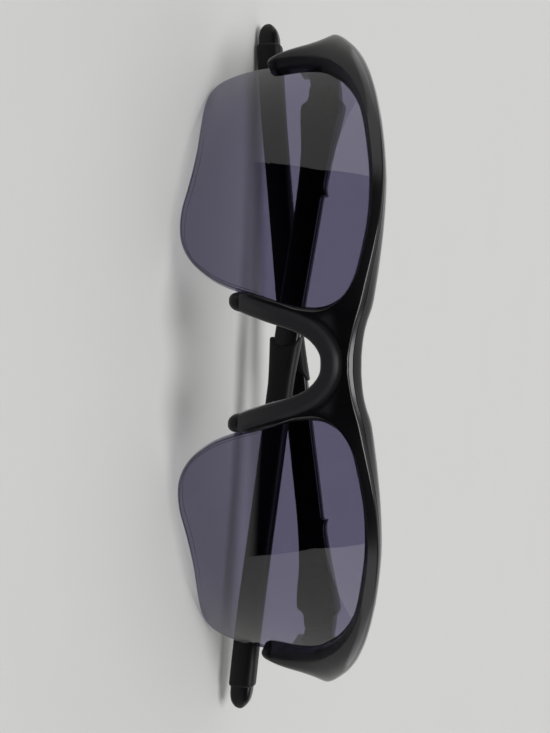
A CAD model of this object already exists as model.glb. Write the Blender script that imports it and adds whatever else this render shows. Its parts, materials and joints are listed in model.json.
import json
import math

import bmesh
import bpy
import numpy as np
from bpy.props import FloatProperty, IntProperty, PointerProperty, StringProperty
from mathutils import Matrix, Vector


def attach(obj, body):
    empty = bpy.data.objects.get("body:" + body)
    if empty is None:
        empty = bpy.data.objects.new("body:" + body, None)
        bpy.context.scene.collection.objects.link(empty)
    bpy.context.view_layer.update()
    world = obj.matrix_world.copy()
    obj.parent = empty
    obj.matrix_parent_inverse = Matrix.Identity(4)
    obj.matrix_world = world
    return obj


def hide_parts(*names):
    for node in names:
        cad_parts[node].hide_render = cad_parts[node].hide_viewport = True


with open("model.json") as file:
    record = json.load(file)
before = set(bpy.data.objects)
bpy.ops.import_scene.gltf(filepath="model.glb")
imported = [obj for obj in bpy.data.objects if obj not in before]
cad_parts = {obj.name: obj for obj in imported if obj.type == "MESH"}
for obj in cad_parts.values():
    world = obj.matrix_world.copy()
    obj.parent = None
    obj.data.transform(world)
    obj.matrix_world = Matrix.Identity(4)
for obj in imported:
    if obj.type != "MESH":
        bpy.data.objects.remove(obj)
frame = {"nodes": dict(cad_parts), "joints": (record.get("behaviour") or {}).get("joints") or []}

bl_info = {
    "name": "Folded Sport Sunglasses",
    "version": (1, 0, 0),
    "blender": (4, 5, 0),
    "location": "3D View > Sidebar > Sunglasses",
    "description": "Builds half-frame sport sunglasses, folded on a pale table",
    "category": "Add Mesh",
}

MM = 0.001
SIDES = {"right": -1, "left": 1}      # each side, and which way x runs there
WHITE = (1, 1, 1, 1)

# ---- the glasses' own frame
# Sizes below are millimetres in the glasses' own frame: x sideways, y back, z up, with the
# hinge line at z = 0. The glasses lean back from that on the table.
HINGE_BACK = 37.689   # how far the hinge line lies behind the lenses' front
JOINTS = {joint["name"]: joint for joint in frame["joints"]}
HINGE = Vector(JOINTS["temple_left_hinge"]["pos_m"])
HINGE_AXIS = Vector(JOINTS["temple_right_hinge"]["axis"])
LEAN = math.atan2(HINGE_AXIS.y, HINGE_AXIS.z)
HINGE_X = HINGE.x / MM
TURN = Matrix.Rotation(-LEAN, 4, "X")
ORIGIN = HINGE - TURN @ Vector((HINGE.x, HINGE_BACK * MM, 0))
TO_TABLE = Matrix.Translation(ORIGIN) @ TURN

LENS_R = 60.6         # radius of a lens's front
LENS_T = 1.7          # a lens's thickness
LENS_CX = 12.013      # centre of a lens's sphere
LENS_CZ = 4.0
WRAP = math.radians(21)           # how far a lens turns round the face
FACE_R = LENS_R + 1.8             # sphere of the front's face
BACK_R = LENS_R - LENS_T - 1.3    # sphere of the front's back
BRIDGE_Y = -1.6       # the bridge's front face on the middle plane


def on_table(points):
    """Millimetres in the glasses' own frame to metres on the table."""
    turn = np.array(TO_TABLE.to_3x3())
    return np.asarray(points, float) * MM @ turn.T + np.array(TO_TABLE.translation)


def smooth_step(low, high, value):
    share = np.clip((np.asarray(value, float) - low) / (high - low), 0, 1)
    return share * share * (3 - 2 * share)


def spline(keys, steps, ghosts=None):
    """Catmull-Rom curve through rows of numbers; ghosts gives other neighbours at breaks."""
    keys = np.asarray(keys, float)
    ghosts = ghosts or {}
    rows = []
    for i in range(len(keys) - 1):
        before = ghosts.get((i, -1), keys[max(i - 1, 0)])
        after = ghosts.get((i + 1, 1), keys[min(i + 2, len(keys) - 1)])
        a, b, c, d = (np.asarray(k, float) for k in (before, keys[i], keys[i + 1], after))
        for k in range(steps):
            t = k / steps
            rows.append(0.5 * (2 * b + (c - a) * t + (2 * a - 5 * b + 4 * c - d) * t * t
                               + (3 * b - a - 3 * c + d) * t ** 3))
    rows.append(keys[-1])
    return np.array(rows)


def on_ball(p, q, radius):
    """Point of a sphere about the left lens's centre; p runs outward, q upward."""
    p, q = np.broadcast_arrays(np.asarray(p, float), np.asarray(q, float))
    deep = np.sqrt(np.maximum(radius * radius - p * p - q * q, 0))
    x = LENS_CX + p * math.cos(WRAP) + deep * math.sin(WRAP)
    y = LENS_R + p * math.sin(WRAP) - deep * math.cos(WRAP)
    return np.stack([x, y, LENS_CZ + q], -1)


def ball_p(x, z, radius=FACE_R):
    """The outward coordinate of the sphere's point that stands at x and z."""
    dx, dz = x - LENS_CX, z - LENS_CZ
    dy = -math.sqrt(radius * radius - dx * dx - dz * dz)
    return dx * math.cos(WRAP) + dy * math.sin(WRAP)


# ---- meshes
def link_object(name, data):
    piece = bpy.data.objects.new(name, data)
    bpy.context.scene.collection.objects.link(piece)
    return piece


def new_mesh(name, points, faces, edges=()):
    mesh = bpy.data.meshes.new(name)
    mesh.from_pydata([tuple(p) for p in points], edges, [tuple(f) for f in faces])
    return mesh


def faces_outward(mesh, merge=False):
    """Turns a closed mesh's faces outward, after merging its doubles if asked."""
    shell = bmesh.new()
    shell.from_mesh(mesh)
    if merge:
        bmesh.ops.remove_doubles(shell, verts=shell.verts, dist=2e-6)
        bmesh.ops.dissolve_degenerate(shell, edges=shell.edges, dist=1e-6)
    bmesh.ops.recalc_face_normals(shell, faces=shell.faces)
    shell.to_mesh(mesh)
    shell.free()


def add_piece(name, points, faces, materials, angle, face_material=None, satin=None):
    """Makes a closed smooth piece of points in the glasses' own frame.

    Edges sharper than the angle, in degrees, stay sharp."""
    mesh = new_mesh(name, on_table(points), faces)
    for material in materials:
        mesh.materials.append(material)
    if face_material is not None:
        mesh.polygons.foreach_set("material_index", face_material)
    if satin is not None:
        mesh.attributes.new("satin", "FLOAT", "POINT").data.foreach_set("value", satin)
    faces_outward(mesh, merge=True)
    mesh.polygons.foreach_set("use_smooth", [True] * len(mesh.polygons))
    mesh.set_sharp_from_angle(angle=math.radians(angle))
    return link_object(name, mesh)


def evaluated_mesh(holder):
    """The holder's mesh with its modifiers applied, as a plain new mesh."""
    graph = bpy.context.evaluated_depsgraph_get()
    return bpy.data.meshes.new_from_object(holder.evaluated_get(graph), depsgraph=graph)


def ring_faces(rows, columns):
    """Quads between successive closed rings of equal length."""
    faces = []
    for i in range(rows - 1):
        a, b = i * columns, (i + 1) * columns
        for j in range(columns):
            k = (j + 1) % columns
            faces.append((a + j, a + k, b + k, b + j))
    return faces


def fan(base, columns, centre):
    """Triangles from a ring, whose first point has the number base, to a centre."""
    return [(base + j, base + (j + 1) % columns, centre) for j in range(columns)]


def capped_loft(rings):
    """Points and faces of a loft through rings, closed by a fan at each end."""
    rings = np.asarray(rings, float)
    rows, columns = rings.shape[:2]
    points = list(rings.reshape(-1, 3))
    faces = ring_faces(rows, columns)
    for row in (0, rows - 1):
        faces += fan(row * columns, columns, len(points))
        points.append(rings[row].mean(0))
    return points, faces


def joined(parts):
    """Several (points, faces) as one."""
    points, faces = [], []
    for some_points, some_faces in parts:
        base = len(points)
        points.extend(some_points)
        faces.extend(tuple(base + i for i in face) for face in some_faces)
    return points, faces


def settle(piece, body, nodes):
    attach(piece, body)
    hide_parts(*nodes)


# ---- materials
def linear(code):
    """An sRGB hex colour as linear RGBA."""
    shares = [int(code[i:i + 2], 16) / 255 for i in (1, 3, 5)]
    return tuple(s / 12.92 if s <= 0.04045 else ((s + 0.055) / 1.055) ** 2.4
                 for s in shares) + (1.0,)


def shades(code, spread):
    """A colour's darker and lighter neighbours, as a mix's two colours."""
    base = linear(code)[:3]
    return {"A": [c * (1 - spread) for c in base] + [1],
            "B": [min(c * (1 + spread), 1) for c in base] + [1]}


def add_node(tree, name, kind, inputs=None, settings=None):
    """Adds one node; a kind that doesn't say Node is a shader node.

    An input is a value or, as "name.socket", the earlier node's socket that feeds it."""
    node = tree.nodes.new(kind if "Node" in kind else "ShaderNode" + kind)
    node.name = name
    for key, value in (settings or {}).items():
        setattr(node, key, value)
    for key, value in (inputs or {}).items():
        if isinstance(value, str) and "." in value:
            source, socket = value.split(".")
            tree.links.new(tree.nodes[source].outputs[socket], node.inputs[key])
        else:
            node.inputs[key].default_value = value
    return node


def add_nodes(tree, *rows):
    """Adds a node for each row: its name, kind, inputs and settings."""
    for row in rows:
        add_node(tree, *row)


def node_material(name, *rows):
    """A material of a row for each node, which can read the Object coordinates as place."""
    material = bpy.data.materials.new(name)
    material.use_nodes = True
    material.node_tree.nodes.clear()
    add_nodes(material.node_tree, ("place", "TexCoord"), *rows)
    return material


RGBA = {"data_type": "RGBA"}
SMOOTH = {"interpolation_type": "SMOOTHSTEP"}
SATIN_ROUGHNESS = 0.22    # how much rougher the satin skin is


def plastic(name, colour, roughness, spread, grain_mm, bump_mm, wave_mm, wave_bump_mm,
            specular=0.5, satin_colour=None):
    """Principled plastic or rubber: fine grain, a slow waviness and uneven gloss.

    With a satin colour, the mesh's satin value blends in a duller, greyer skin."""
    tone, rough, satin = "tint.Result", "gloss.Result", ()
    if satin_colour:
        satin = (
            ("worn", "Attribute", {}, {"attribute_name": "satin"}),
            ("duller", "Mix", {"A": tone, "B": linear(satin_colour), "Factor": "worn.Fac"}, RGBA),
            ("rougher", "Math", {0: "worn.Fac", 1: SATIN_ROUGHNESS, 2: rough},
             {"operation": "MULTIPLY_ADD"}),
        )
        tone, rough = "duller.Result", "rougher.Value"
    return node_material(
        name,
        ("grain", "TexNoise",
         {"Scale": 1 / (grain_mm * MM), "Detail": 2.0, "Vector": "place.Object"}),
        ("wave", "TexNoise",
         {"Scale": 1 / (wave_mm * MM), "Detail": 1.0, "Vector": "place.Object"}),
        ("gloss", "MapRange",
         {"Value": "wave.Fac", "From Min": 0.3, "From Max": 0.7,
          "To Min": roughness - spread, "To Max": roughness + spread}),
        ("tint", "Mix", {"Factor": "grain.Fac", **shades(colour, 0.2)}, RGBA),
        *satin,
        ("slow", "Bump", {"Distance": wave_bump_mm * MM, "Height": "wave.Fac"}),
        ("fine", "Bump",
         {"Distance": bump_mm * MM, "Height": "grain.Fac", "Normal": "slow.Normal"}),
        ("skin", "BsdfPrincipled",
         {"IOR": 1.53, "Specular IOR Level": specular, "Base Color": tone, "Roughness": rough,
          "Normal": "fine.Normal"}),
        ("out", "OutputMaterial", {"Surface": "skin.BSDF"}))


def tinted_lens(name, tint, gloss, cloud_mm, shadow_pale):
    """Moulded polycarbonate: the front surface reflects and tints, the rear one only passes.

    Its shadow is paler than its tint by the last share."""
    return node_material(
        name,
        ("side", "NewGeometry"),
        ("cloud", "TexNoise",
         {"Scale": 1 / (cloud_mm * MM), "Detail": 1.0, "Vector": "place.Object"}),
        ("tone", "Mix", {"Factor": "cloud.Fac", **shades(tint, 0.015)}, RGBA),
        ("dye", "Mix", {"A": "tone.Result", "B": WHITE, "Factor": "side.Backfacing"}, RGBA),
        ("ray", "LightPath"),
        ("pale", "Math", {0: "ray.Is Shadow Ray", 1: shadow_pale}, {"operation": "MULTIPLY"}),
        ("soft", "Mix", {"A": "dye.Result", "B": WHITE, "Factor": "pale.Value"}, RGBA),
        ("through", "BsdfTransparent", {"Color": "soft.Result"}),
        ("shine", "BsdfGlossy", {"Color": WHITE, "Roughness": gloss}),
        ("edge on", "Fresnel", {"IOR": 1.58}),
        ("front", "Math", {0: 1.0, 1: "side.Backfacing"}, {"operation": "SUBTRACT"}),
        ("share", "Math", {0: "edge on.Fac", 1: "front.Value"}, {"operation": "MULTIPLY"}),
        ("mix", "MixShader", {"Fac": "share.Value", 1: "through.BSDF", 2: "shine.BSDF"}),
        ("out", "OutputMaterial", {"Surface": "mix.Shader"}))


def metal(name, colour, roughness, scratch_mm):
    """Turned metal: bright, with fine tool marks."""
    return node_material(
        name,
        ("marks", "TexNoise",
         {"Scale": 1 / (scratch_mm * MM), "Detail": 3.0, "Vector": "place.Object"}),
        ("gloss", "MapRange",
         {"Value": "marks.Fac", "To Min": roughness * 0.7, "To Max": roughness * 1.4}),
        ("bump", "Bump", {"Strength": 0.6, "Distance": 0.01 * MM, "Height": "marks.Fac"}),
        ("skin", "BsdfPrincipled",
         {"Base Color": linear(colour), "Metallic": 1.0, "Roughness": "gloss.Result",
          "Normal": "bump.Normal"}),
        ("out", "OutputMaterial", {"Surface": "skin.BSDF"}))


def matt(name, colour, roughness, mottle_mm):
    """Flat paint, faintly mottled."""
    return node_material(
        name,
        ("spots", "TexNoise",
         {"Scale": 1 / (mottle_mm * MM), "Detail": 2.0, "Vector": "place.Object"}),
        ("tone", "Mix", {"Factor": "spots.Fac", **shades(colour, 0.015)}, RGBA),
        ("skin", "BsdfPrincipled",
         {"Base Color": "tone.Result", "Roughness": roughness, "Specular IOR Level": 0.2}),
        ("out", "OutputMaterial", {"Surface": "skin.BSDF"}))


MATERIALS = {}


def make_materials(finish):
    # Nylon, injection moulded in a polished tool: black, wet-looking highlights
    # with soft edges, and a slow waviness where the wall changed thickness as it cooled.
    # Round the nose arch the tool is dull, so that band is greyer and spreads its highlights.
    MATERIALS["front"] = plastic(
        "nylon_moulded_polished", finish.front_colour, roughness=0.19, spread=0.03,
        grain_mm=0.25, bump_mm=0.0012, wave_mm=6.0, wave_bump_mm=0.01, specular=0.38,
        satin_colour=finish.arm_colour)
    # The same nylon from a lightly textured tool: a satin sheen instead of clear reflections.
    MATERIALS["stem"] = plastic(
        "nylon_moulded_satin", finish.stem_colour, roughness=0.28, spread=0.04,
        grain_mm=0.3, bump_mm=0.004, wave_mm=7.0, wave_bump_mm=0.01, specular=0.22)
    # Hydrophilic rubber, moulded matt: soft broad sheen, a little duller than the nylon.
    MATERIALS["rubber"] = plastic(
        "rubber_moulded_matt", finish.rubber_colour, roughness=0.45, spread=0.06,
        grain_mm=0.35, bump_mm=0.006, wave_mm=8.0, wave_bump_mm=0.01, specular=0.2)
    # Smoke polycarbonate, moulded and hard-coated: clear, violet-grey, mirror-smooth in front.
    MATERIALS["lens"] = tinted_lens(
        "polycarbonate_moulded_smoke", finish.lens_colour, gloss=0.0, cloud_mm=9,
        shadow_pale=0.7)
    # The lens's ground edge: light caught in the thickness, so it shows as a dark line.
    MATERIALS["lens_edge"] = plastic(
        "polycarbonate_ground_edge", finish.edge_colour, roughness=0.25, spread=0.03,
        grain_mm=0.3, bump_mm=0.002, wave_mm=5.0, wave_bump_mm=0.002)
    # Stainless screw, turned: neutral and bright with fine tool marks.
    MATERIALS["screw"] = metal("stainless_steel_turned", "#B4B4B8", roughness=0.28,
                               scratch_mm=0.12)
    # Brass insert, turned: warm, slightly dull.
    MATERIALS["insert"] = metal("brass_turned", "#C9A25B", roughness=0.35, scratch_mm=0.15)
    # Painted table: plain and pale, no gloss of its own.
    MATERIALS["table"] = matt("table_paint_matt", finish.table_colour, roughness=0.75,
                              mottle_mm=60.0)


# ---- front
# Stations along the front from a hook's tip, over the brow and down a nose arm. Each row:
# lens-side point (p, q), outer point (p, q), how far the wall behind the crease stands
# outward, how round the outer edge is, and for the bridge and arm how much lip stands over
# the lens: all of it elsewhere.
HOOK_AND_BROW = (
    (29.1, -11.95, 29.15, -11.97, 0, 0.3),
    (28.6, -11.75, 29.8, -11.75, 0, 0.8),
    (28.3, -11.1, 30.6, -11.05, 0, 1.3),
    (28.2, -9.8, 31.6, -9.5, 0, 1.7),
    (28.2, -8.1, 32.6, -7.8, 0, 1.9),
    (28.25, -6.4, 33.4, -5.7, 0, 2.0),
    (28.15, -4.4, 34.3, -3.6, 0, 2.0),
    (27.9, -2.5, 35.7, -1.6, 0, 2.0),
    (27.55, -1.1, 37.3, -0.1, 0, 2.1),
    (27.15, -0.2, 37.9, 0.7, 0, 2.2),
    (26.65, 0.75, 37.2, 1.8, 0, 2.3),
    (25.65, 1.95, 35.5, 3.3, 0, 2.3),
    (23.75, 3.9, 32.4, 5.6, 0.05, 2.3),
    (20.85, 6.05, 27.9, 7.95, 0.1, 2.0),
    (17.2, 7.9, 22.3, 10.1, 0.15, 1.5),
    (13.6, 9.1, 16.7, 11.7, 0.2, 1.0),
    (9.8, 10.1, 11.2, 12.95, 0.25, 0.5),
    (5.4, 11.0, 5.4, 13.95, 0.25, 0.45),
    (1.0, 11.7, 0.5, 14.5, 0.25, 0.45),
    (-3.6, 12.0, -4.2, 14.6, 0.3, 0.45),
    (-8.0, 11.95, -8.6, 14.4, 0.4, 0.45),
    (-12.4, 11.4, -13.0, 13.8, 0.6, 0.45),
    (-16.1, 10.6, -18.0, 12.85, 0.85, 0.45),
    (-18.9, 9.65, -23.0, 11.75, 1.2, 0.45),
    (-20.7, 8.65, -27.6, 10.4, 1.45, 0.45),
    (-21.9, 7.65, -31.0, 9.72, 1.72, 0.45),
)
# On the middle plane and down the arm the outer point is given by x and z instead.
BRIDGE_AND_ARM = (
    (-22.6, 6.75, 0, 13.65, 1.75, 0.45, 1),
    (-22.95, 6.2, 0, 12.4, 0, 0, 1),
    (-23.2, 5.75, 0, 11.1, 0, 0, 1),
    (-23.4, 5.3, 0, 9.8, 0, 0, 1),
    (-23.57, 4.8, 0, 8.6, 0, 0.9, 1),
    (-23.73, 4.1, 1.65, 8.42, 0, 0.9, 1),
    (-23.84, 3.0, 3.3, 7.4, 0, 0.9, 1),
    (-23.83, 1.4, 4.7, 5.85, 0, 0.9, 0.9),
    (-23.62, -0.45, 5.75, 3.75, 0, 0.9, 0.8),
    (-23.15, -2.35, 6.6, 1.35, 0, 0.9, 0.6),
    (-22.58, -4.25, 7.35, -1.2, 0, 0.9, 0.5),
    (-21.9, -6.3, 8.15, -3.5, 0, 0.9, 0.4),
    (-21.45, -8.4, 8.8, -5.3, 0, 0.9, 0.3),
    (-21.35, -10.6, 9.35, -6.6, 0, 0.9, 0.3),
)
TOP = len(HOOK_AND_BROW)          # the station on the middle plane's top
ARCH = TOP + 4                    # the station at the arch's crown
# The outer wall's way back from the face. Under a sloped top: shares of how far it stands
# outward, and of its depth. Behind a rounded edge and round the arch: millimetres outward,
# and shares of the depth.
SLOPED_WALL = ((0.03, 0.006), (0.18, 0.045), (0.34, 0.085), (0.43, 0.075), (0.66, 0.2),
               (0.93, 0.37), (1.0, 0.48), (0.97, 0.66), (0.85, 0.85), (0.65, 0.95), (0.35, 1.0))
WALL_DEPTH = (0.05, 0.15, 0.25, 0.35, 0.5, 0.6, 0.7, 0.8, 0.9, 0.97, 1.0)
ROUND_WALL = tuple(zip((0.0,) * 7 + (-0.03, -0.12, -0.3, -0.6), WALL_DEPTH))
ARCH_WALL = tuple(zip((0.05, 0.1, 0.13, 0.16, 0.18, 0.16, 0.08, -0.03, -0.15, -0.35, -0.6),
                      WALL_DEPTH))
# A section's points across its face, as shares: from the lens-side edge in lip widths, and
# from the outer edge in widths of the rounded edge.
ACROSS_IN = (0, 0.08, 0.2, 0.45, 0.7, 0.9, 1.0, 1.12, 1.35)
ACROSS_OUT = (0, 0.05, 0.12, 0.22, 0.35, 0.5, 0.68, 0.86, 1.0)
MIDDLE_STEPS = 14
FULL_WIDTH = 3.4      # a narrower section has all its details shrunk
LIP_WIDTH = 1.05      # the lip over the lens, how deep it falls and how it bends
LIP_FALL, LIP_BEND = 1.75, 1.15
INNER_ROUND = 0.9     # radius of the inner edge where there is no lip
EDGE_FALL = 0.95      # how deep a rounded edge falls, for each millimetre of its radius
ARCH_ROUND = 0.5      # radius of the arch's edge
CREASE_ROUND = 0.45   # radius of the crease over the bridge
CREASE_RUN = 40       # stations of the crease near the middle plane
CREASE_FULL = 10      # stations before the middle plane where it takes over
BEAD, BEAD_FROM, BEAD_TO = 0.6, 2.0, 4.1    # bead round the arch, which fades between these
VALLEY, VALLEY_TO = 0.45, 9.0     # valley beside the bead and where it ends
HOOK_CROWN = 0.52     # how high a hook is crowned, for each millimetre of its edge's radius
BEAD_ACROSS = (0.0, 1.2)          # how far from the lens side bead and valley set in
ARM_SATIN = (3.5, 2.6)            # distances from the arch's edge where the satin band fades
CHEEK_SATIN = 0.8     # how satin the cheeks between the arch and the lenses are
CHEEK_START, CHEEK_END = (3.9, 4.7), (8.0, 6.0)    # distances from the arch where they fade
CHEEK_ASIDE, CHEEK_ACROSS = (2.5, 5.5), (1.2, 2.8)    # from the middle plane, the lens side
CHEEK_RUN = 3         # key stations below the bridge's top over which they set in
TIP_RUN = 2.5         # key stations over which a hook's tip is rounded
TIP_FALL = 1.6        # how far its face falls back there
HOOK_THIN = 2.0       # how much thinner a hook is at its tip
HOOK_THIN_RUN = 3     # key stations over which it reaches its full depth
BACK_TUCK = 0.5       # how far a hook's back stands outside its face's inner edge
HOOK_KEY, BRIDGE_KEY = 10, 14     # key stations between which that fades away
LEAD_BLEND = 0.25     # how softly the bridge's face leaves the lenses' sphere
TOP_FALL = 0.45       # how far the top falls toward the back over a lens
FALL_RISE = (0.9, 0.3)            # how far the wall stands outward where that sets in
SLOPE_ROUND = (1.4, 0.3)          # the edge's roundness where the wall becomes sloped
TURN_ASIDE = (7.0, 14.0)          # x where the front turns from straight ahead to the lens's way
LEAD_ASIDE = (14.0, 8.0)          # x where the bridge's face leaves the lenses' sphere
CLOSE_WIDTH = 0.45    # width of the rounded edge between the back and the lens side
CLOSE_STEEP = 1.6     # its height against its width
CLOSE_SHAPE = ((1.0, 0.0), (0.45, 0.1), (0.12, 0.3), (0.0, 0.6))
BACK_POINTS = 7       # points across the back


def distance_to_line(spots, line):
    """Distance from each spot to a chain of straight runs, in one plane."""
    a, run = line[None, :-1], np.diff(line, axis=0)[None]
    along = np.sum((spots[:, None] - a) * run, -1) / np.maximum(np.sum(run * run, -1), 1e-12)
    nearest = a + run * np.clip(along, 0, 1)[..., None]
    return np.min(np.linalg.norm(spots[:, None] - nearest, axis=-1), axis=1)


def front_stations(steps):
    """The stations' rows, and the numbers of the first and last on the middle plane."""
    keys = [(*row, 1) for row in HOOK_AND_BROW]
    for pi, qi, x, z, *rest in BRIDGE_AND_ARM:
        keys.append((pi, qi, ball_p(x, z), z - LENS_CZ, *rest))

    def beyond(i, outer, inner):
        """The row past station i: its outer point mirrored or held, its inner point going on."""
        row = list(keys[inner][:2]) + list(keys[outer][2:])
        there = on_ball(*row[2:4], FACE_R)
        row[2] = ball_p(-there[0], there[2])
        return row

    ghosts = {(TOP, 1): beyond(TOP, TOP - 1, TOP + 1), (TOP, -1): beyond(TOP, TOP, TOP - 1),
              (ARCH, 1): beyond(ARCH, ARCH, ARCH + 1), (ARCH, -1): beyond(ARCH, ARCH + 1, ARCH - 1)}
    rows = spline(keys, steps, ghosts)
    first, last = TOP * steps, ARCH * steps
    for row in rows[first:last + 1]:
        row[2] = ball_p(0.0, row[3] + LENS_CZ)
    rows[:, 4:] = np.maximum(rows[:, 4:], 0)
    return rows, first, last


def wall_directions(inner, outer, first, last):
    """The way that each station's outer wall faces, square to the outer edge."""
    along = np.gradient(outer, axis=0)
    away = np.stack([-along[:, 1], along[:, 0]], 1)
    away /= np.maximum(np.linalg.norm(away, axis=1), 1e-9)[:, None]
    flip = np.sign(np.sum(away * (outer - inner), axis=1))
    away *= np.where(flip == 0, 1, flip)[:, None]
    down_arm = np.gradient(outer[last:], axis=0)
    away[last:] = (np.stack([down_arm[:, 1], -down_arm[:, 0]], 1)
                   / np.linalg.norm(down_arm, axis=1)[:, None])
    away[0], away[first], away[last] = (0, -1), (0, 1), (0, -1)
    return away


def edge_fall(radius, reach):
    """How far the face falls at a distance from a rounded edge."""
    from_edge = np.clip(radius - reach, 0, radius)
    return EDGE_FALL * (radius - np.sqrt(np.maximum(radius ** 2 - from_edge ** 2, 0)))


def points_across(width, lip_w, edge_w):
    """Distances from the lens side to the points across a section's face."""
    near = [a * lip_w for a in ACROSS_IN]
    far = [width - b * max(edge_w, 0.02) for b in ACROSS_OUT][::-1]
    middle = list(np.linspace(near[-1], far[0], MIDDLE_STEPS + 2)[1:-1])
    return np.array(near + middle + far)


def lens_side_fall(across, lip, lip_w, shrink):
    """How far the face falls beside the lens.

    A lip slopes up from the lens to a soft second crease; without one the edge is round."""
    slope = np.clip(across / lip_w, 0, 1)
    fillet = INNER_ROUND * shrink
    near_edge = np.clip(fillet - across, 0, fillet)
    return (lip * shrink * (LIP_FALL * (1 - slope) ** LIP_BEND)
            + (1 - lip) * (fillet - np.sqrt(fillet ** 2 - near_edge ** 2)))


def arch_bead(gap, across):
    """How far the face rises in the bead round the arch, and falls in the valley beside it."""
    return smooth_step(*BEAD_ACROSS, across) * (BEAD * smooth_step(BEAD_TO, BEAD_FROM, gap)
                                                - VALLEY * smooth_step(VALLEY_TO, BEAD_TO, gap))


def hook_crown(across, width, lip_w, rounding, shrink):
    """How far an end hook rises: it is a rounded bar, highest in the middle of its width."""
    over = np.clip((across - lip_w / 2) / max(width - lip_w / 2, 1e-6), 0, 1)
    return HOOK_CROWN * max(rounding - CREASE_ROUND, 0) * shrink * np.sin(math.pi * over)


def satin_share(gap, x, across, past_first, steps):
    """How satin the arm is, and the cheek between the arch and the lens."""
    cheek = (smooth_step(*CHEEK_START, gap) * smooth_step(*CHEEK_END, gap)
             * smooth_step(*CHEEK_ASIDE, x) * smooth_step(*CHEEK_ACROSS, across)
             * smooth_step(0, CHEEK_RUN * steps, past_first))
    return np.maximum(smooth_step(*ARM_SATIN, gap), CHEEK_SATIN * cheek)


def wall_shape(rise, rounding, shrink, below):
    """The outer wall's way back: a blend of its sloped and rounded shapes."""
    sloped = np.array(SLOPED_WALL) * (rise, 1)
    sloped[:, 0] -= TOP_FALL * smooth_step(*FALL_RISE, rise) * sloped[:, 1] ** 1.5
    rounded = np.array(ARCH_WALL if below else ROUND_WALL) * (shrink, 1)
    bevel = 0.0 if below else smooth_step(*SLOPE_ROUND, rounding)
    return bevel * sloped + (1 - bevel) * rounded


def back_shape(start, step, width, shrink, tuck, wall_foot, back_r):
    """A section's back, from the wall's foot, and the rounded edge between it and the lens."""
    back_to = start + step * (min(CLOSE_WIDTH, 0.2 * width) + tuck)
    share = np.linspace(1, 0, BACK_POINTS + 2)[1:-1]
    close = np.array(CLOSE_SHAPE) * CLOSE_WIDTH * shrink
    flat = [back_to + (wall_foot - back_to) * share[:, None], start + step * (close[:, :1] + tuck)]
    height = [np.full(BACK_POINTS, back_r), back_r + close[:, 1] * CLOSE_STEEP]
    return np.concatenate(flat), np.concatenate(height)


def front_half(steps):
    """One side of the front: points by station and wrap-round section, and how satin each is."""
    rows, first, last = front_stations(steps)
    inner, outer = rows[:, 0:2], rows[:, 2:4]
    away = wall_directions(inner, outer, first, last)
    arch = on_ball(outer[last:, 0], outer[last:, 1], FACE_R)[:, [0, 2]]
    arch = np.concatenate([arch[1:][::-1] * (-1, 1), arch])
    crease = on_ball(outer[:first + 1, 0], outer[:first + 1, 1], FACE_R)[-CREASE_RUN:, [0, 2]]
    sections = []
    for i, width in enumerate(np.linalg.norm(outer - inner, axis=1)):
        rise, rounding, lip = rows[i, 4:]
        below = i > first
        shrink = min(1, width / FULL_WIDTH)
        lip_w = max(LIP_WIDTH * lip, 0.02) * shrink
        edge_w = max(rounding, 0.2) * shrink
        step = (outer[i] - inner[i]) / max(width, 1e-6)
        across = points_across(width, lip_w, edge_w)
        flat = inner[i] + step * np.clip(across, 0, width)[:, None]
        spot = on_ball(flat[:, 0], flat[:, 1], FACE_R)[:, [0, 2]]
        gap = distance_to_line(spot, arch)
        to_crease = distance_to_line(spot, crease)
        height = FACE_R - lens_side_fall(across, lip, lip_w, shrink) + arch_bead(gap, across)
        # The outer edge over the bridge is measured from the whole crease, and below the
        # bridge's top from the arch as well, so that it runs on round the corner.
        if below:
            height -= edge_fall(ARCH_ROUND, gap) + edge_fall(CREASE_ROUND, to_crease)
        else:
            square = smooth_step(first - CREASE_RUN, first - CREASE_FULL, i)
            height -= edge_fall(edge_w, (1 - square) * (width - across) + square * to_crease)
            height += hook_crown(across, width, lip_w, rounding, shrink)
        # The hook's face falls away round its tip, where the hook is thin as well.
        tip = max(1 - i / (TIP_RUN * steps), 0)
        height -= TIP_FALL * (1 - math.sqrt(1 - tip ** 2))
        back_r = BACK_R + HOOK_THIN * smooth_step(HOOK_THIN_RUN * steps, 0, i)
        wall = wall_shape(rise, rounding, shrink, below)
        if first < i < last:
            wall[:, 0] = 0
        wall_flat = outer[i] + away[i] * wall[:, :1]
        wall_height = height[-1] + (back_r - height[-1]) * wall[:, 1]
        # A hook's back stands a little further out than its face.
        tuck = BACK_TUCK * smooth_step(BRIDGE_KEY * steps, HOOK_KEY * steps, i) * shrink
        back_flat, back_height = back_shape(inner[i], step, width, shrink, tuck, wall_flat[-1],
                                            back_r)
        satin = np.zeros(len(flat) + len(wall_flat) + len(back_flat))
        if below:
            satin[:len(flat)] = satin_share(gap, spot[:, 0], across, i - first, steps)
        sections.append(np.column_stack([np.concatenate([flat, wall_flat, back_flat]),
                                         np.concatenate([height, wall_height, back_height]),
                                         satin]))
    sections = np.array(sections)
    points = front_place(sections[..., 0], sections[..., 1], sections[..., 2])
    wall_start = len(ACROSS_IN) + MIDDLE_STEPS + len(ACROSS_OUT) - 1
    wall_end = wall_start + len(SLOPED_WALL)
    points[first:last + 1, wall_start:wall_end + 1, 0] = 0
    return points, sections[..., 3]


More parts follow.
